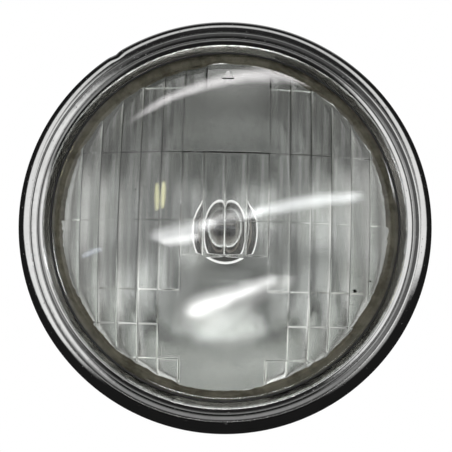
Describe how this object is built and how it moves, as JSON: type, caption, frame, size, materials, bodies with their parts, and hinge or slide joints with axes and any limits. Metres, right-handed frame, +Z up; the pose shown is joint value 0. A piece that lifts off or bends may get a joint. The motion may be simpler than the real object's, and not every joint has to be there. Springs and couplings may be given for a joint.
{
  "type": "motorcycle headlight",
  "caption": "Round headlight with a chromed rim, a domed glass lens with moulded flutes, and a steel bucket that bolts between the forks at its sides.",
  "frame": {"origin": "where the axis of the two side bolts crosses the lamp's own axis, midway between the front of the glass and the back of the wire grommet", "axes": "+X right as seen from the front, +Y backwards out of the bucket, +Z up; the lamp looks along -Y"},
  "size_m": [0.19, 0.1292, 0.19],
  "materials": {
    "chrome": "polished chrome plate with fine scratches and pitting",
    "lens_glass": "clear moulded glass, polished outside",
    "rubber": "matte black rubber",
    "sealing_compound": "aged olive-brown sealing compound",
    "silvering": "vacuum-silvered bowl, slightly dulled",
    "zinc": "zinc-plated steel",
    "spring_steel": "dull spring steel",
    "brass": "dull brass",
    "clear_glass": "clear thin glass",
    "tungsten": "dark tungsten coil",
    "solder": "dull tinned metal",
    "bakelite": "dark brown moulded resin",
    "black_paint": "gloss black enamel"
  },
  "bodies": {
    "root": {"rim": "chrome", "rim_hook": "zinc", "rim_ear_right": "zinc", "rim_ear_left": "zinc", "ear_nut_right": "zinc", "ear_nut_left": "zinc", "rim_screw_right": "zinc", "rim_screw_left": "zinc", "screw_washer_right": "zinc", "screw_washer_left": "zinc", "lens": "lens_glass", "lens_gasket": "rubber", "lens_seal": "sealing_compound", "reflector": "silvering", "bulb_collar": "zinc", "retaining_clip_1": "spring_steel", "retaining_clip_2": "spring_steel", "retaining_clip_3": "spring_steel", "retaining_clip_4": "spring_steel", "bulb_glass": "clear_glass", "bulb_base": "brass", "bulb_insulator": "bakelite", "bulb_contact_right": "solder", "bulb_contact_left": "solder", "bulb_stem": "clear_glass", "filament_main": "tungsten", "filament_dip": "tungsten", "filament_wire_1": "spring_steel", "filament_wire_2": "spring_steel", "filament_wire_3": "spring_steel", "filament_wire_4": "spring_steel", "socket_shell": "zinc", "socket_insulator": "bakelite", "socket_spring": "spring_steel", "contact_pin_right": "brass", "contact_pin_left": "brass", "terminal_right": "solder", "terminal_left": "solder", "terminal_earth": "solder", "dust_boot": "rubber", "bucket": "black_paint", "side_nut_right": "zinc", "side_nut_left": "zinc", "wire_grommet": "rubber", "drain_grommet": "rubber"}
  },
  "joints": []
}
